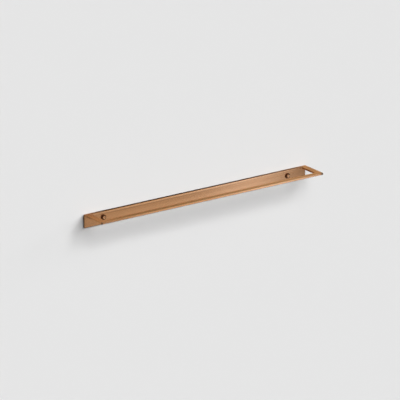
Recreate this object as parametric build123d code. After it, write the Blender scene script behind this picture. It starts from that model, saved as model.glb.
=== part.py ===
from build123d import *
import os

# Wall-mounted towel rail: one metal sheet, folded once and cut open for the towel,
# held to the wall by two socket screws in expansion plugs.
# Millimetres. +X runs along the rail, +Y goes into the wall and +Z is up.
# The origin lies on the wall plane, midway between the two screws.

# Folded sheet
RAIL_LENGTH = 600.0
RAIL_REACH = 73.0  # wall plane to front edge
FLANGE_HEIGHT = 31.5  # the upright leg against the wall
SHEET_THICKNESS = 4.0
BEND_INNER_RADIUS = 0.5
CORNER_RADIUS = 1.5  # outer corners of both legs
EDGE_BREAK = 0.3  # rounding along the cut edges

# Towel window in the level leg
FRONT_BAR_WIDTH = 12.0
SIDE_STRIP_WIDTH = 14.0
BEND_LEDGE = 6.0  # flat strip left between the bend and the window
WINDOW_CORNER_RADIUS = 2.0

# Screws
SCREW_INSET = 50.0  # rail end to screw axis
SCREW_DROP = 15.75  # rail top to screw axis
HEAD_DIAMETER = 12.0
HEAD_HEIGHT = 4.2
CROWN_RADIUS = 3.0  # from the head's flat middle round to its rim
SOCKET_ACROSS_FLATS = 3.0
SOCKET_DEPTH = 1.8
SOCKET_CONE_DEPTH = 0.6  # drill point below the hexagon
THREAD_DIAMETER = 5.0
THREAD_HOLE_CLEARANCE = 0.25  # radial, in the flange
POINT_LENGTH = 6.0
POINT_PAST_PLUG = 5.0

# Wall plugs
PLUG_DIAMETER = 8.0
PLUG_LENGTH = 40.0
PLUG_SETBACK = 4.0  # wall plane to the mouth of the plug, which sits below a tile's glaze
PLUG_BORE_CLEARANCE = 0.1  # radial, around the screw
NECK_LENGTH = 10.0  # plain ring at the mouth
TOOTH_COUNT = 5
TOOTH_DEPTH = 0.7
NOSE_LENGTH = 5.0  # tapered end past the teeth
NOSE_TAPER = 0.8  # radius lost along the nose
SPLIT_WIDTH = 1.2  # between the legs that spread in the wall

# Places that follow from the sizes above
RAIL_TOP = SCREW_DROP
FLANGE_BOTTOM = RAIL_TOP - FLANGE_HEIGHT
WINDOW_BACK = -(SHEET_THICKNESS + BEND_INNER_RADIUS + BEND_LEDGE)
WINDOW_FRONT = -(RAIL_REACH - FRONT_BAR_WIDTH)
SCREW_X = RAIL_LENGTH / 2 - SCREW_INSET
PLUG_END = PLUG_SETBACK + PLUG_LENGTH
SCREW_TIP = PLUG_END + POINT_PAST_PLUG

SMOOTH_JOIN_DEGREES = 1.0  # faces that meet within this angle share no sharp edge


def sharp_edges(solid):
    """The edges whose two faces meet at an angle, leaving out smooth joins and seams."""
    found = ShapeList()
    for edge in solid.edges():
        sides = [
            face
            for face in solid.faces()
            if any(edge.is_same(other) for other in face.edges())
        ]
        if len(sides) == 2:
            first, second = (face.normal_at(edge @ 0.5) for face in sides)
            if first.get_angle(second) > SMOOTH_JOIN_DEGREES:
                found.append(edge)
    return found


def make_rail():
    """The folded sheet with its towel window, screw holes and broken edges."""
    with BuildPart() as rail:
        # The outer line of the fold, given the sheet's thickness on its inner side
        with BuildSketch(Plane.YZ):
            with BuildLine():
                FilletPolyline(
                    (0, FLANGE_BOTTOM),
                    (0, RAIL_TOP),
                    (-RAIL_REACH, RAIL_TOP),
                    radius=BEND_INNER_RADIUS + SHEET_THICKNESS,
                )
                offset(amount=SHEET_THICKNESS, side=Side.LEFT)
            make_face()
        extrude(amount=RAIL_LENGTH / 2, both=True)

        # Outer corners of the level leg, then of the upright leg
        front_corners = rail.edges().filter_by(Axis.Z).group_by(Axis.Y)[0]
        bottom_corners = rail.edges().filter_by(Axis.Y).group_by(Axis.Z)[0]
        fillet(front_corners + bottom_corners, CORNER_RADIUS)

        # The window that the towel passes through
        with BuildSketch(Plane.XY.offset(RAIL_TOP)):
            with Locations((0, (WINDOW_BACK + WINDOW_FRONT) / 2)):
                RectangleRounded(
                    RAIL_LENGTH - 2 * SIDE_STRIP_WIDTH,
                    WINDOW_BACK - WINDOW_FRONT,
                    WINDOW_CORNER_RADIUS,
                )
        extrude(amount=-SHEET_THICKNESS, mode=Mode.SUBTRACT)

        fillet(sharp_edges(rail.part), EDGE_BREAK)

        # Screw holes through the upright leg
        with BuildSketch(Plane.XZ):
            with Locations((-SCREW_X, 0), (SCREW_X, 0)):
                Circle(THREAD_DIAMETER / 2 + THREAD_HOLE_CLEARANCE)
        extrude(amount=SHEET_THICKNESS, mode=Mode.SUBTRACT)
    return rail.part


def make_screw():
    """A round-crowned socket screw on the Y axis, its head seated on the upright leg."""
    seat = -SHEET_THICKNESS
    face = seat - HEAD_HEIGHT
    head_radius = HEAD_DIAMETER / 2
    thread_radius = THREAD_DIAMETER / 2
    with BuildPart() as screw:
        # Half section, turned about the screw's axis
        with BuildSketch(Plane.XY) as half:
            with BuildLine():
                Polyline(
                    (0, face),
                    (head_radius, face),
                    (head_radius, seat),
                    (thread_radius, seat),
                    (thread_radius, SCREW_TIP - POINT_LENGTH),
                    (0, SCREW_TIP),
                    close=True,
                )
            make_face()
            rim = half.vertices().sort_by_distance((head_radius, face))[0]
            fillet(rim, CROWN_RADIUS)
        revolve(axis=Axis.Y)

        # Hexagon socket with a drill point at its bottom
        with BuildSketch(Plane.XZ.offset(-face)):
            RegularPolygon(SOCKET_ACROSS_FLATS / 2, 6, major_radius=False)
        extrude(amount=-SOCKET_DEPTH, mode=Mode.SUBTRACT)
        with Locations(Location((0, face + SOCKET_DEPTH, 0), (-90, 0, 0))):
            Cone(
                SOCKET_ACROSS_FLATS / 2,
                0,
                SOCKET_CONE_DEPTH,
                align=(Align.CENTER, Align.CENTER, Align.MIN),
                mode=Mode.SUBTRACT,
            )
    return screw.part


def make_plug():
    """An expansion plug on the Y axis: plain neck, saw teeth, tapered nose and two legs."""
    radius = PLUG_DIAMETER / 2
    root = radius - TOOTH_DEPTH
    bore = THREAD_DIAMETER / 2 + PLUG_BORE_CLEARANCE
    teeth_start = PLUG_SETBACK + NECK_LENGTH
    teeth_end = PLUG_END - NOSE_LENGTH
    pitch = (teeth_end - teeth_start) / TOOTH_COUNT

    outline = [(bore, PLUG_SETBACK), (radius, PLUG_SETBACK), (radius, teeth_start)]
    for tooth in range(TOOTH_COUNT):
        outline.append((root, teeth_start + tooth * pitch))
        outline.append((radius, teeth_start + (tooth + 1) * pitch))
    outline.append((radius - NOSE_TAPER, PLUG_END))
    outline.append((bore, PLUG_END))

    with BuildPart() as plug:
        with BuildSketch(Plane.XY):
            with BuildLine():
                Polyline(outline, close=True)
            make_face()
        revolve(axis=Axis.Y)

        # The split that lets the two legs spread
        with BuildSketch(Plane.XZ.offset(-PLUG_END)):
            Rectangle(PLUG_DIAMETER, SPLIT_WIDTH)
        extrude(amount=PLUG_END - teeth_start, mode=Mode.SUBTRACT)
    return plug.part


def at_both_screws(shape):
    """A pair of the shape, which is made on the Y axis, at the two fixing points."""
    return Compound([Pos(side * SCREW_X, 0, 0) * shape for side in (-1, 1)])


os.makedirs("parts", exist_ok=True)
export_step(make_rail(), "parts/rail.step")
export_step(at_both_screws(make_screw()), "parts/fixing_screws.step")
export_step(at_both_screws(make_plug()), "parts/wall_plugs.step")
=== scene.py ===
from math import cos, pi, radians, sin, tau

import bpy
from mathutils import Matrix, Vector


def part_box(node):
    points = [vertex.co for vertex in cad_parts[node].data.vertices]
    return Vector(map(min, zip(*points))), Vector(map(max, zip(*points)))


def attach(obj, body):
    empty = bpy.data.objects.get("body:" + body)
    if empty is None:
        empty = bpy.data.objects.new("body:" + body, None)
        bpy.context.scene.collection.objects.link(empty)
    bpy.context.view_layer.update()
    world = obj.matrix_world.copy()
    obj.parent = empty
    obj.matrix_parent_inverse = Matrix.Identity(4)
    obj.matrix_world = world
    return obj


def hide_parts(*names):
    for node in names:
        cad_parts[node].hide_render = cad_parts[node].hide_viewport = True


# A brushed copper-coloured towel rail, folded from one sheet, on a pale wall.
# Metres, in the part's own frame: +X along the rail, +Y into the wall, +Z up.
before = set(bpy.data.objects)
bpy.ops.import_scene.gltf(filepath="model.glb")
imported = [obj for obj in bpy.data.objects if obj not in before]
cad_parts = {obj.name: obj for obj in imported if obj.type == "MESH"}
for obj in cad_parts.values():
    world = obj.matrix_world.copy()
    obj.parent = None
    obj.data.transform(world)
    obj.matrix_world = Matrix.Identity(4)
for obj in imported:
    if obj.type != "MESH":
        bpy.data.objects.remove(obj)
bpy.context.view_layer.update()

BODY = "root"
MM = 0.001

# Sizes read from the frame, and those that its boxes don't show
rail_low, rail_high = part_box("rail")
screws_low, screws_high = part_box("fixing_screws")
SHEET = 4 * MM
LEVEL_LEG_START = -SHEET - 1 * MM  # just past the bend
LEDGE_END = -SHEET - 6.2 * MM  # just short of the window

# Screw head
HEAD_RADIUS = screws_high.z
HEAD_FACE = screws_low.y
HEAD_SEAT = -SHEET
CROWN_RADIUS = 3 * MM
CROWN_STEPS = 14
SEAT_ROUNDING = 0.2 * MM
SEAT_STEPS = 4
FLAT_RING = 0.85  # a ring on the head's flat middle, as a share of its radius
SOCKET_FLAT = 1.5 * MM  # axis to flat
SOCKET_DEPTH = 1.8 * MM
SOCKET_CONE = 0.6 * MM  # drill point below the hexagon
CONE_RING = 0.97  # a ring on the cone, as a share of its radius
FLOOR_RING = 0.99  # a ring at the hexagon's foot, as a share of its size
FLOOR_BREAK = 0.05 * MM
MOUTH_RADIUS = 1.28 * SOCKET_FLAT  # countersink around the hexagon
MOUTH_SLOPE = 0.6
MOUTH_BREAK = 0.03 * MM
MOUTH_LIP = 0.02 * MM
LIP_RING = 1.03  # a ring just outside the countersink, as a share of its radius

# Screw shank
SCREW_TIP = screws_high.y
SCREW_X = screws_high.x - HEAD_RADIUS
THREAD_CREST = 2.5 * MM
THREAD_ROOT = 1.7 * MM
THREAD_PITCH = 2.2 * MM
THREAD_START = 2.0 * MM
CREST_HALF = 0.05  # half the crest's width, in pitches
FLANK = 0.27  # one flank's width, in pitches
NECK_RADIUS = 0.9 * THREAD_CREST
POINT_LENGTH = 6 * MM
TIP_SHARE = 0.06  # of the radius, left at the end of the point
THREAD_STEPS = 14  # rings to one turn of the thread
SCREW_COLUMNS = 72
SHARP_ANGLE = radians(32)  # edges that turn further than this stay sharp
# Each screw: its name, its place along the rail, and its turn in radians as the driver left it
SCREWS = (("screw_left", -SCREW_X, 0.35), ("screw_right", SCREW_X, 0.9))

# Camera: far off with a long lens, left of the wall's normal and above the rail
PICTURE_PIXELS = 400
SENSOR_WIDTH = 36.0
FOCAL_PIXELS = 4000.0
PIXELS_PER_METRE = 449.0
CAMERA_LEFT = radians(34.984)
CAMERA_ABOVE = radians(18.797)
AIM = Vector((0.0, 0.0, rail_high.z))
AIM_PIXEL = (195.74, 188.90)  # where the aim point falls in the picture
VIEW_DEPTH = 10  # how far the camera sees, in distances to the rail

# Wall and light
WALL_BEHIND = 0.3 * MM
WALL_HALF = (12.0, 12.0)
WALL_SHADE = (0.80, 0.80, 0.80)
SKY_FOR_CAMERA = 0.785
SKY_FOR_LIGHT = 0.02
# Each lamp: degrees right of the wall's normal, above it, across the lamp, and strength
LAMPS = (
    (25, 35, 26, 1.96),
    (-5, 40, 26, 1.27),
    (30, 20, 16, 0.52),
    (70, 20, 16, 0.56),
    (155, 40, 26, 2.4),
    (205, 15, 26, 1.2),
)

# What the metal mirrors: a dim room, a soft panel at front right and a narrower one at front left.
# A span is where a step starts and ends; a step is a span and the two levels at its ends.
ROOM_LEFT = 0.08
ROOM_RIGHT = 0.16
ROOM_BEHIND = 0.36
ROOM_SIDES = (-0.5, 0.35)  # span of a direction's X, from the left shade to the right one
ROOM_BACK = (0.0, 0.3)  # span of a direction's Y, to the shade behind the wall
PANEL_PLACE = Vector((0.60, -0.95, -0.36))
PANEL_HALF = (1.0, 1.3)
PANEL_EVEN = (0.74, 0.77, 0.83)
PANEL_EVEN_STEPS = (((-0.32, -0.20), (0.52, 1.0)), ((0.32, 0.52), (1.0, 0.0)))
PANEL_COLUMN = (0.54, 0.77, 1.28)
PANEL_COLUMN_STEPS = (((0.05, 0.17), (0.0, 1.0)), ((0.27, 0.385), (1.0, 0.0)))
PANEL_TOP = (0.70, 0.95)  # span of the panel's height
PANEL_LIFT = 3.6  # how much brighter the panel's top is, for glints on edges and crowns
LEFT_PANEL_PLACE = Vector((-0.68, -0.95, -0.36))
LEFT_PANEL_HALF = (0.50, 1.2)
LEFT_PANEL_LIGHT = 0.75
LEFT_PANEL_FADE = (0.20, 0.48)  # span to either side of its middle

# The wall as the metal mirrors it: its shades, and the spans between them
MIRRORED_LEFT = (0.86, 0.80, 0.80)
MIRRORED_MIDDLE = (0.54, 0.515, 0.47)
MIRRORED_RIGHT = (0.83, 0.85, 0.87)
MIRRORED_DARK = (0, 0, 0)
LEFT_TO_MIDDLE = (-0.30, -0.16)
MIDDLE_TO_RIGHT = (-0.12, 0.28)
LOWER_TO_UPPER = (-0.002, 0.001)  # heights
PAST_END = (-0.325, -0.306)  # beyond the rail's left end, which has two shades of its own
MIRRORED_END_LOWER = (0.85, 0.82, 0.78)
MIRRORED_END_UPPER = (0.42, 0.40, 0.36)
RIGHT_BAND_STEPS = (((0.306, 0.318), (0.0, 0.10)), ((0.326, 0.342), (1.0, 0.0)))
FAR_RIGHT_STEPS = (((0.38, 0.50), (0.0, 0.75)),)
SEAM_SHADE = (0.050, 0.018, 0.0)  # painted shade: what the wall darkens to in mirrors, close to the rail
SEAM_HEIGHT = (0.021, 0.040)
SEAM_STEPS = (
    ((-0.30, -0.235), (0.45, 1.0)),
    ((0.10, 0.30), (1.0, 0.7)),
    ((0.28, 0.305), (1.0, 0.05)),
)
SIDE_SEAM_STEPS = (((-0.316, -0.304), (0.36, 1.0)), ((-0.299, -0.297), (1.0, 0.0)))
BEHIND_RAIL = 1 * MM  # mirror rays shorter than this pass through the wall

# Finishes; a noise's scale is in features per metre along each axis
NOISE_MIDDLE = (0.3, 0.7)  # span that holds most of a noise
NOISE_WIDE = (0.25, 0.75)
RELIEF = 0.05 * MM  # depth of the finest marks

# Brushed sheet
HAIRLINE_SCALE = (6, 5200, 5200)
HAIRLINE_SPAN = (0.55, 0.8)
HAIRLINE_TONE = (0.52, 0.247, 0.102)
HAIRLINE_BLEND = 0.4
HAIRLINE_BUMP = 0.12
HAIRLINE_ROUGHNESS = (0.19, 0.28)
STREAK_SCALE = (2, 1900, 1900)
STREAK_TONES = ((0.588, 0.286, 0.121), (0.620, 0.307, 0.134))
CLOUD_SCALE = (7, 30, 30)
CLOUD_ROUGHNESS = (-0.02, 0.03)
BAND_SCALE = (1.3, 230, 230)
BAND_BLEND = 0.5
# Each kind of soft band: the span of noise that it fades in over, and its tone
BANDS = (((0.5, 0.7), (0.53, 0.252, 0.105)), ((0.5, 0.3), (0.68, 0.342, 0.150)))
EDGE_TINT = (0.90, 0.70, 0.52, 1)  # keeps the metal copper-coloured at a glancing angle
# Painted shade beside the upright edges at the rail's ends
END_PAINTED_SHADE = (0.10, 0.07, 0.05)
END_SHADE_CORE = 0.4  # fully shaded up to this share of the reach
END_SHADE_DEPTH = 0.8
# Each upright edge: its place along and off the wall, and how far its painted shade reaches
END_SHADE_EDGES = (
    (rail_low.x, rail_low.y, 4 * MM),
    (rail_high.x, rail_low.y, 8 * MM),
    (rail_low.x, -SHEET / 2, 2.6 * MM),
    (rail_high.x, -SHEET / 2, 2.6 * MM),
)
# Painted shade on the bend and high on the upright leg, fading to painted light low on that leg, in
# the rail's middle
PLATE_PAINTED_SHADE = (0.36, 0.168, 0.068)
PLATE_PAINTED_LIGHT = (0.62, 0.311, 0.136)
PLATE_SHADE_HEIGHT = (-0.010, 0.011)  # span from painted light to painted shade
PLATE_SHADE_STEPS = (((-0.28, -0.20), (0.0, 0.6)), ((0.02, 0.22), (1.0, 0.0)))
# Painted light: the level leg's cut faces are made paler to stand in for light from above
CUT_PAINTED_LIGHT = (0.78, 0.425, 0.21)
CUT_LIGHT_AMOUNT = 0.65
CUT_TILT = (0.15, 0.6)  # span of a normal's Z, from cut edges to level faces

# Turned screws
RING_SCALE = (5200, 5200, 1)
RING_TONES = ((0.86, 0.480, 0.240), (0.92, 0.530, 0.270))
RING_ROUGHNESS = (0.13, 0.20)
RING_BUMP = 0.08
# Painted shade darkening the head towards its rim
RIM_SHADE_SPAN = (2.2 * MM, 3.5 * MM)  # distance from the axis
RIM_PAINTED_SHADE = (0.18, 0.060, 0.016)
RIM_SHADE_BLEND = 0.95
SPOT_SCALE = (900, 900, 900)
SPOT_SPAN = (0.60, 0.75)
SPOT_TONE = (0.40, 0.185, 0.075)
SPOT_BLEND = 0.15
HEAD_EDGE_TINT = (0.35, 0.21, 0.12, 1)  # darkens the screws' rims

# Moulded plugs
GRAIN_SCALE = (3500, 3500, 3500)
GRAIN_ROUGHNESS = (0.42, 0.56)
GRAIN_BUMP = 0.2
FLOW_SCALE = (220, 60, 220)
FLOW_TONES = ((0.40, 0.41, 0.42), (0.50, 0.51, 0.52))


# Node helpers

# A Mix node's sockets by number, since its kinds of data share their names
MIX_FACTOR = 0
MIX_NUMBER_A, MIX_NUMBER_B, MIX_NUMBER_OUT = 2, 3, 0
MIX_COLOUR_A, MIX_COLOUR_B, MIX_COLOUR_OUT = 6, 7, 2


def new_material(name):
    """An empty node material and its output node."""
    material = bpy.data.materials.new(name)
    material.use_nodes = True
    material.node_tree.nodes.clear()
    output = material.node_tree.nodes.new("ShaderNodeOutputMaterial")
    return material, output


def add(tree, kind, links=None, **settings):
    """A new node with its settings; links maps inputs to values or output sockets."""
    node = tree.nodes.new("ShaderNode" + kind)
    for name, value in settings.items():
        setattr(node, name, value)
    for name, value in (links or {}).items():
        if isinstance(value, bpy.types.NodeSocket):
            tree.links.new(value, node.inputs[name])
        else:
            node.inputs[name].default_value = value
    return node


def object_place(tree):
    """Where a point lies in its object's own frame."""
    return add(tree, "TexCoord").outputs["Object"]


def split(tree, vector):
    """The outputs X, Y and Z of a vector."""
    return add(tree, "SeparateXYZ", {"Vector": vector}).outputs


def maths(tree, operation, *numbers):
    """The result of a Math node's operation."""
    return add(tree, "Math", dict(enumerate(numbers)), operation=operation).outputs[0]


def stretched_noise(tree, coordinates, scale, detail, roughness=0.55):
    """Noise with its own scale along each axis."""
    mapping = add(tree, "Mapping", {"Vector": coordinates, "Scale": scale})
    noise = add(
        tree,
        "TexNoise",
        {"Vector": mapping.outputs[0], "Scale": 1.0, "Detail": detail, "Roughness": roughness},
    )
    return noise.outputs["Fac"]


def ranged(tree, value, span, levels, curve="LINEAR"):
    """The value carried from a span to two levels, and held at its ends."""
    links = {
        "Value": value,
        "From Min": span[0],
        "From Max": span[1],
        "To Min": levels[0],
        "To Max": levels[1],
    }
    return add(tree, "MapRange", links, interpolation_type=curve).outputs["Result"]


def smooth_step(tree, value, span, levels):
    """The value carried from a span to two levels along an S-shaped curve."""
    return ranged(tree, value, span, levels, "SMOOTHSTEP")


def stepped(tree, value, steps):
    """The product of several smooth steps of one value."""
    total = None
    for span, levels in steps:
        step = smooth_step(tree, value, span, levels)
        total = step if total is None else maths(tree, "MULTIPLY", total, step)
    return total


def rgba(colour):
    """A colour with its alpha, or an output socket as it is."""
    return colour if isinstance(colour, bpy.types.NodeSocket) else (*colour, 1)


def mixed_colour(tree, factor, first, second):
    """A blend of two colours by a factor."""
    links = {MIX_FACTOR: factor, MIX_COLOUR_A: rgba(first), MIX_COLOUR_B: rgba(second)}
    return add(tree, "Mix", links, data_type="RGBA").outputs[MIX_COLOUR_OUT]


def mixed_value(tree, factor, first, second):
    """A blend of two numbers by a factor."""
    links = {MIX_FACTOR: factor, MIX_NUMBER_A: first, MIX_NUMBER_B: second}
    return add(tree, "Mix", links, data_type="FLOAT").outputs[MIX_NUMBER_OUT]


def bumped(tree, height, strength):
    """A normal tilted by a fine relief."""
    links = {"Height": height, "Strength": strength, "Distance": RELIEF}
    return add(tree, "Bump", links).outputs[0]


# Materials


def painted_end_shade(tree, place):
    """How far painted shade darkens the metal beside the upright edges at the rail's ends."""
    parts = split(tree, place)
    flat = add(tree, "CombineXYZ", {"X": parts["X"], "Y": parts["Y"]}).outputs[0]
    nearest = None
    for edge_x, edge_y, reach in END_SHADE_EDGES:
        edge = (edge_x, edge_y, 0)
        away = add(tree, "VectorMath", {0: flat, 1: edge}, operation="DISTANCE").outputs["Value"]
        share = maths(tree, "DIVIDE", away, reach)
        nearest = share if nearest is None else maths(tree, "MINIMUM", nearest, share)
    return smooth_step(tree, nearest, (END_SHADE_CORE, 1.0), (END_SHADE_DEPTH, 0.0))


def painted_cut_light(tree, place):
    """How far a place is on the cut edges of the level leg, which carry painted light that makes
    them paler.
    """
    normal = add(tree, "NewGeometry").outputs["Normal"]
    level = maths(tree, "ABSOLUTE", split(tree, normal)["Z"])
    upright = smooth_step(tree, level, CUT_TILT, (CUT_LIGHT_AMOUNT, 0.0))
    past_bend = maths(tree, "LESS_THAN", split(tree, place)["Y"], LEVEL_LEG_START)
    return maths(tree, "MULTIPLY", upright, past_bend)


def painted_plate_shade(tree, place, colour):
    """The colour with painted shade along the bend and high on the upright leg, and painted light
    low on that leg.
    """
    parts = split(tree, place)
    low = smooth_step(tree, parts["Z"], PLATE_SHADE_HEIGHT, (1.0, 0.0))
    near_wall = maths(tree, "GREATER_THAN", parts["Y"], LEDGE_END)
    middle = stepped(tree, parts["X"], PLATE_SHADE_STEPS)
    graded = mixed_colour(tree, low, PLATE_PAINTED_SHADE, PLATE_PAINTED_LIGHT)
    return mixed_colour(tree, maths(tree, "MULTIPLY", near_wall, middle), colour, graded)


def brushed_copper():
    """Sheet brushed along X: long hairlines, soft bands, cloudy gloss and a stretched highlight."""
    material, output = new_material("brushed_copper")
    tree = material.node_tree
    place = object_place(tree)
    hairlines = stretched_noise(tree, place, HAIRLINE_SCALE, detail=4.0, roughness=0.65)
    streaks = stretched_noise(tree, place, STREAK_SCALE, detail=3.0, roughness=0.6)
    clouds = stretched_noise(tree, place, CLOUD_SCALE, detail=2.0)
    bands = stretched_noise(tree, place, BAND_SCALE, detail=2.0)

    colour = mixed_colour(tree, ranged(tree, streaks, NOISE_MIDDLE, (0, 1)), *STREAK_TONES)
    # painted shade and light on the upright leg and the bend
    colour = painted_plate_shade(tree, place, colour)
    # painted light on the cut faces
    colour = mixed_colour(tree, painted_cut_light(tree, place), colour, CUT_PAINTED_LIGHT)
    for span, tone in BANDS:
        colour = mixed_colour(tree, ranged(tree, bands, span, (0, BAND_BLEND)), colour, tone)
    lines = ranged(tree, hairlines, HAIRLINE_SPAN, (0, HAIRLINE_BLEND))
    colour = mixed_colour(tree, lines, colour, HAIRLINE_TONE)
    # painted shade beside the upright end edges
    colour = mixed_colour(tree, painted_end_shade(tree, place), colour, END_PAINTED_SHADE)
    roughness = maths(
        tree,
        "ADD",
        ranged(tree, hairlines, NOISE_WIDE, HAIRLINE_ROUGHNESS),
        ranged(tree, clouds, NOISE_MIDDLE, CLOUD_ROUGHNESS),
    )
    metal = add(
        tree,
        "BsdfPrincipled",
        {
            "Base Color": colour,
            "Metallic": 1.0,
            "Roughness": roughness,
            "Anisotropic": 1.0,
            "Specular Tint": EDGE_TINT,
            "Normal": bumped(tree, hairlines, HAIRLINE_BUMP),
            "Tangent": add(tree, "Tangent", direction_type="RADIAL", axis="X").outputs[0],
        },
    )
    tree.links.new(metal.outputs[0], output.inputs["Surface"])
    return material


def turned_copper():
    """Screw metal with fine turned rings, and painted shade that darkens the head from its bright
    middle to its rim.
    """
    material, output = new_material("turned_copper")
    tree = material.node_tree
    place = object_place(tree)
    parts = split(tree, place)
    flat = add(tree, "CombineXYZ", {"X": parts["X"], "Z": parts["Z"]}).outputs[0]
    radius = add(tree, "VectorMath", {0: flat}, operation="LENGTH").outputs["Value"]
    along = add(tree, "CombineXYZ", {"X": radius, "Y": parts["Y"]}).outputs[0]
    rings = stretched_noise(tree, along, RING_SCALE, detail=3.0)
    spots = stretched_noise(tree, place, SPOT_SCALE, detail=3.0)

    colour = mixed_colour(tree, ranged(tree, rings, NOISE_MIDDLE, (0, 1)), *RING_TONES)
    # painted shade towards the head's rim
    rim = smooth_step(tree, radius, RIM_SHADE_SPAN, (0.0, RIM_SHADE_BLEND))
    colour = mixed_colour(tree, rim, colour, RIM_PAINTED_SHADE)
    spotted = ranged(tree, spots, SPOT_SPAN, (0, SPOT_BLEND))
    colour = mixed_colour(tree, spotted, colour, SPOT_TONE)
    metal = add(
        tree,
        "BsdfPrincipled",
        {
            "Base Color": colour,
            "Metallic": 1.0,
            "Roughness": ranged(tree, rings, NOISE_MIDDLE, RING_ROUGHNESS),
            "Specular Tint": HEAD_EDGE_TINT,
            "Normal": bumped(tree, rings, RING_BUMP),
        },
    )
    tree.links.new(metal.outputs[0], output.inputs["Surface"])
    return material


def moulded_nylon():
    """Grey plug nylon with a fine moulded grain and slight flow marks."""
    material, output = new_material("moulded_nylon")
    tree = material.node_tree
    place = object_place(tree)
    grain = stretched_noise(tree, place, GRAIN_SCALE, detail=2.0)
    flow = stretched_noise(tree, place, FLOW_SCALE, detail=2.0)

    colour = mixed_colour(tree, ranged(tree, flow, NOISE_MIDDLE, (0, 1)), *FLOW_TONES)
    plastic = add(
        tree,
        "BsdfPrincipled",
        {
            "Base Color": colour,
            "Roughness": ranged(tree, grain, NOISE_MIDDLE, GRAIN_ROUGHNESS),
            "Normal": bumped(tree, grain, GRAIN_BUMP),
        },
    )
    tree.links.new(plastic.outputs[0], output.inputs["Surface"])
    return material


def mirrored_wall(tree):
    """The wall's shade where the metal mirrors it."""
    place = split(tree, object_place(tree))
    along, up = place["X"], place["Z"]
    lower = smooth_step(tree, up, LOWER_TO_UPPER, (1.0, 0.0))
    upper = smooth_step(tree, up, LOWER_TO_UPPER, (0.0, 1.0))
    right_part = smooth_step(tree, along, MIDDLE_TO_RIGHT, (0.0, 1.0))
    left_part = smooth_step(tree, along, LEFT_TO_MIDDLE, (1.0, 0.0))
    past_end = smooth_step(tree, along, PAST_END, (1.0, 0.0))

    over_rail = maths(tree, "MULTIPLY", smooth_step(tree, up, SEAM_HEIGHT, (1.0, 0.0)), upper)
    over_rail = maths(tree, "MULTIPLY", over_rail, stepped(tree, along, SEAM_STEPS))
    beside_rail = maths(tree, "MULTIPLY", stepped(tree, along, SIDE_SEAM_STEPS), lower)

    shade = mixed_colour(tree, right_part, MIRRORED_MIDDLE, MIRRORED_RIGHT)
    shade = mixed_colour(tree, left_part, shade, MIRRORED_LEFT)
    for steps in (RIGHT_BAND_STEPS, FAR_RIGHT_STEPS):
        shade = mixed_colour(tree, stepped(tree, along, steps), shade, MIRRORED_DARK)
    end_shade = mixed_colour(tree, lower, MIRRORED_END_UPPER, MIRRORED_END_LOWER)
    shade = mixed_colour(tree, past_end, shade, end_shade)
    # painted shade on the wall in mirrors, close to the rail
    return mixed_colour(tree, maths(tree, "ADD", over_rail, beside_rail), shade, SEAM_SHADE)


def pale_wall():
    """A plain matt wall, seen from its front only, with other shades where the metal mirrors it."""
    material, output = new_material("pale_wall")
    tree = material.node_tree
    path = add(tree, "LightPath").outputs
    glossy = path["Is Glossy Ray"]
    shade = mixed_colour(tree, glossy, WALL_SHADE, mirrored_wall(tree))
    paint = add(tree, "BsdfDiffuse", {"Color": shade}).outputs[0]
    clear = add(tree, "BsdfTransparent").outputs[0]
    short = maths(tree, "LESS_THAN", path["Ray Length"], BEHIND_RAIL)
    short = maths(tree, "MULTIPLY", short, glossy)
    back = add(tree, "NewGeometry").outputs["Backfacing"]
    open_side = maths(tree, "MAXIMUM", back, short)
    both = add(tree, "MixShader", {0: open_side, 1: paint, 2: clear})
    tree.links.new(both.outputs[0], output.inputs["Surface"])
    return material


def soft_panel():
    """A lit panel, brighter at its top, with a cooler column that fades out to both sides."""
    material, output = new_material("soft_panel")
    tree = material.node_tree
    place = split(tree, object_place(tree))
    along, up = place["X"], place["Z"]
    even = stepped(tree, along, PANEL_EVEN_STEPS)
    even = maths(tree, "MULTIPLY", even, smooth_step(tree, up, PANEL_TOP, (1.0, PANEL_LIFT)))
    column = stepped(tree, along, PANEL_COLUMN_STEPS)
    soft = add(tree, "Emission", {"Color": rgba(PANEL_EVEN), "Strength": even})
    bright = add(tree, "Emission", {"Color": rgba(PANEL_COLUMN), "Strength": column})
    light = add(tree, "AddShader", {0: soft.outputs[0], 1: bright.outputs[0]})
    tree.links.new(light.outputs[0], output.inputs["Surface"])
    return material


def left_panel():
    """A dimmer panel that is lit in its middle and fades out to both sides."""
    material, output = new_material("left_panel")
    tree = material.node_tree
    away = maths(tree, "ABSOLUTE", split(tree, object_place(tree))["X"])
    fade = smooth_step(tree, away, LEFT_PANEL_FADE, (LEFT_PANEL_LIGHT, ROOM_LEFT))
    light = add(tree, "Emission", {"Strength": fade})
    tree.links.new(light.outputs[0], output.inputs["Surface"])
    return material


# Screws


def socket_radius(angle):
    """Axis to the hexagon's side at an angle."""
    return SOCKET_FLAT / cos((angle + pi / 6) % (pi / 3) - pi / 6)


def socket_mouth(angle):
    """Where the hexagon's side meets the countersink at an angle, along the axis."""
    return HEAD_FACE + MOUTH_SLOPE * (MOUTH_RADIUS - socket_radius(angle))


def arc(centre_radius, centre_y, size, start, end, steps):
    """Rings along a part of a circle."""
    rows = []
    for step in range(steps + 1):
        turn = start + (end - start) * step / steps
        ring = (centre_radius + size * cos(turn), centre_y + size * sin(turn))
        rows.append(lambda angle, ring=ring: ring)
    return rows


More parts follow.
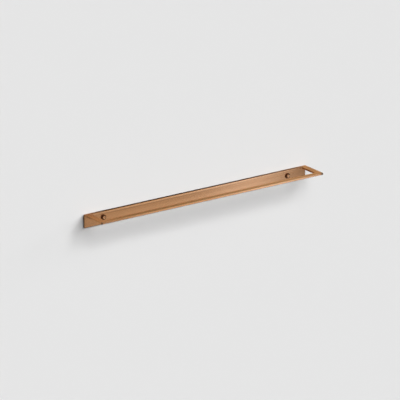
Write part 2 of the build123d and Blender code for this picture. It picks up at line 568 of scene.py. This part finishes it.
def head_rows():
    """Rings from the socket's floor over the crown to the seat, each a function to (radius, y)."""
    floor = HEAD_FACE + SOCKET_DEPTH
    flat = HEAD_RADIUS - CROWN_RADIUS
    rim = HEAD_RADIUS - SEAT_ROUNDING
    return [
        lambda angle: (SOCKET_FLAT * CONE_RING, floor + SOCKET_CONE * (1 - CONE_RING)),
        lambda angle: (socket_radius(angle) * FLOOR_RING, floor),
        lambda angle: (socket_radius(angle), floor - FLOOR_BREAK),
        lambda angle: (socket_radius(angle), socket_mouth(angle) + MOUTH_BREAK),
        lambda angle: (socket_radius(angle), socket_mouth(angle)),
        lambda angle: (MOUTH_RADIUS, HEAD_FACE + MOUTH_LIP),
        lambda angle: (MOUTH_RADIUS * LIP_RING, HEAD_FACE),
        lambda angle: (flat * FLAT_RING, HEAD_FACE),
        *arc(flat, HEAD_FACE + CROWN_RADIUS, CROWN_RADIUS, -pi / 2, 0, CROWN_STEPS),
        *arc(rim, HEAD_SEAT - SEAT_ROUNDING, SEAT_ROUNDING, 0, pi / 2, SEAT_STEPS),
        lambda angle: (THREAD_CREST, HEAD_SEAT),
    ]


def shank_radius(angle, y):
    """Axis to the skin of the neck, the helical thread or the point."""
    turn = (y / THREAD_PITCH - angle / tau) % 1.0
    ridge = max(0.0, 1.0 - max(0.0, abs(turn - 0.5) - CREST_HALF) / FLANK)
    run_out = min(1.0, max(0.0, (y - THREAD_START) / THREAD_PITCH))
    core = NECK_RADIUS + (THREAD_ROOT - NECK_RADIUS) * run_out
    radius = core + (THREAD_CREST - core) * ridge * run_out
    return radius * min(1.0, TIP_SHARE + (SCREW_TIP - y) / POINT_LENGTH)


def shank_rows():
    """Rings from the seat to the tip, each a function to (radius, y)."""
    rows = []
    steps = int((SCREW_TIP - HEAD_SEAT) / THREAD_PITCH * THREAD_STEPS)
    for step in range(1, steps):
        y = HEAD_SEAT + (SCREW_TIP - HEAD_SEAT) * step / steps
        rows.append(lambda angle, y=y: (shank_radius(angle, y), y))
    return rows


def make_screw(name, x, turn):
    """One screw as a skin of rings around its own axis."""
    rows = head_rows() + shank_rows()
    vertices = [(0, HEAD_FACE + SOCKET_DEPTH + SOCKET_CONE, 0)]
    for row in rows:
        for column in range(SCREW_COLUMNS):
            angle = tau * column / SCREW_COLUMNS
            radius, y = row(angle)
            vertices.append((radius * cos(angle + turn), y, radius * sin(angle + turn)))
    vertices.append((0, SCREW_TIP, 0))
    faces = []
    for column in range(SCREW_COLUMNS):
        beside = (column + 1) % SCREW_COLUMNS
        faces.append((0, 1 + beside, 1 + column))
        for row in range(len(rows) - 1):
            near, far = 1 + row * SCREW_COLUMNS, 1 + (row + 1) * SCREW_COLUMNS
            faces.append((near + column, near + beside, far + beside, far + column))
        last = 1 + (len(rows) - 1) * SCREW_COLUMNS
        faces.append((last + column, last + beside, len(vertices) - 1))
    mesh = bpy.data.meshes.new(name)
    mesh.from_pydata(vertices, [], faces)
    mesh.shade_smooth()
    mesh.set_sharp_from_angle(angle=SHARP_ANGLE)
    screw = bpy.data.objects.new(name, mesh)
    screw.location.x = x
    bpy.context.scene.collection.objects.link(screw)
    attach(screw, BODY)
    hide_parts("fixing_screws")
    return screw


# Stage


def upright_sheet(name, half, place, material):
    """A flat rectangle whose front looks away from the wall."""
    wide, tall = half
    mesh = bpy.data.meshes.new(name)
    corners = [(-wide, 0, -tall), (wide, 0, -tall), (wide, 0, tall), (-wide, 0, tall)]
    mesh.from_pydata(corners, [], [(0, 1, 2, 3)])
    mesh.materials.append(material)
    sheet = bpy.data.objects.new(name, mesh)
    sheet.location = place
    bpy.context.scene.collection.objects.link(sheet)
    return sheet


def make_wall():
    """The wall, a hair behind the rail's back."""
    wall = upright_sheet("wall", WALL_HALF, (0, WALL_BEHIND, 0), pale_wall())


def make_panel(name, place, half, material):
    """A panel that only mirrors show."""
    panel = upright_sheet(name, half, place, material)
    panel.visible_camera = False
    panel.visible_diffuse = False
    panel.visible_shadow = False
    panel.visible_transmission = False


def make_lamp(name, right, above, across, strength):
    """A far lamp that mirrors don't show."""
    towards = Vector((
        sin(radians(right)) * cos(radians(above)),
        -cos(radians(right)) * cos(radians(above)),
        sin(radians(above)),
    ))
    lamp = bpy.data.lights.new(name, "SUN")
    lamp.energy = strength
    lamp.angle = radians(across)
    light = bpy.data.objects.new(name, lamp)
    light.rotation_mode = "QUATERNION"
    light.rotation_quaternion = towards.to_track_quat("Z", "Y")
    light.visible_glossy = False
    bpy.context.scene.collection.objects.link(light)


def make_sky():
    """A world that is pale to the camera, a dim room to mirrors, and gives little light."""
    world = bpy.data.worlds.new("sky")
    world.use_nodes = True
    tree = world.node_tree
    tree.nodes.clear()
    path = add(tree, "LightPath").outputs
    direction = split(tree, add(tree, "TexCoord").outputs["Generated"])
    room = smooth_step(tree, direction["X"], ROOM_SIDES, (ROOM_LEFT, ROOM_RIGHT))
    behind = smooth_step(tree, direction["Y"], ROOM_BACK, (0.0, 1.0))
    room = mixed_value(tree, behind, room, ROOM_BEHIND)
    shade = mixed_value(tree, path["Is Glossy Ray"], SKY_FOR_LIGHT, room)
    shade = mixed_value(tree, path["Is Camera Ray"], shade, SKY_FOR_CAMERA)
    light = add(tree, "Background", {"Color": shade})
    add(tree, "OutputWorld", {"Surface": light.outputs[0]})
    bpy.context.scene.world = world


def make_camera():
    """The photo's view: the aim point falls on its pixel, and the camera stands far off."""
    data = bpy.data.cameras.new("camera")
    data.sensor_width = SENSOR_WIDTH
    data.lens = FOCAL_PIXELS / PICTURE_PIXELS * SENSOR_WIDTH
    distance = FOCAL_PIXELS / PIXELS_PER_METRE
    forward = Vector((
        sin(CAMERA_LEFT) * cos(CAMERA_ABOVE),
        cos(CAMERA_LEFT) * cos(CAMERA_ABOVE),
        -sin(CAMERA_ABOVE),
    ))
    right = Vector((cos(CAMERA_LEFT), -sin(CAMERA_LEFT), 0))
    up = right.cross(forward)
    centre = PICTURE_PIXELS / 2
    centred = (
        AIM
        - right * (AIM_PIXEL[0] - centre) / PIXELS_PER_METRE
        + up * (AIM_PIXEL[1] - centre) / PIXELS_PER_METRE
    )
    camera = bpy.data.objects.new("camera", data)
    camera.location = centred - forward * distance
    camera.rotation_mode = "QUATERNION"
    camera.rotation_quaternion = forward.to_track_quat("-Z", "Y")
    data.clip_end = distance * VIEW_DEPTH
    bpy.context.scene.collection.objects.link(camera)
    bpy.context.scene.camera = camera


def dress(node, material):
    """Gives a CAD node its finish."""
    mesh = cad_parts[node].data
    mesh.materials.clear()
    mesh.materials.append(material)


dress("rail", brushed_copper())
screw_finish = turned_copper()
for name, x, turn in SCREWS:
    make_screw(name, x, turn).data.materials.append(screw_finish)
dress("wall_plugs", moulded_nylon())
make_wall()
for index, lamp in enumerate(LAMPS):
    make_lamp(f"lamp_{index}", *lamp)
make_panel("panel_right", PANEL_PLACE, PANEL_HALF, soft_panel())
make_panel("panel_left", LEFT_PANEL_PLACE, LEFT_PANEL_HALF, left_panel())
make_sky()
make_camera()
bpy.context.scene.view_settings.view_transform = "Standard"
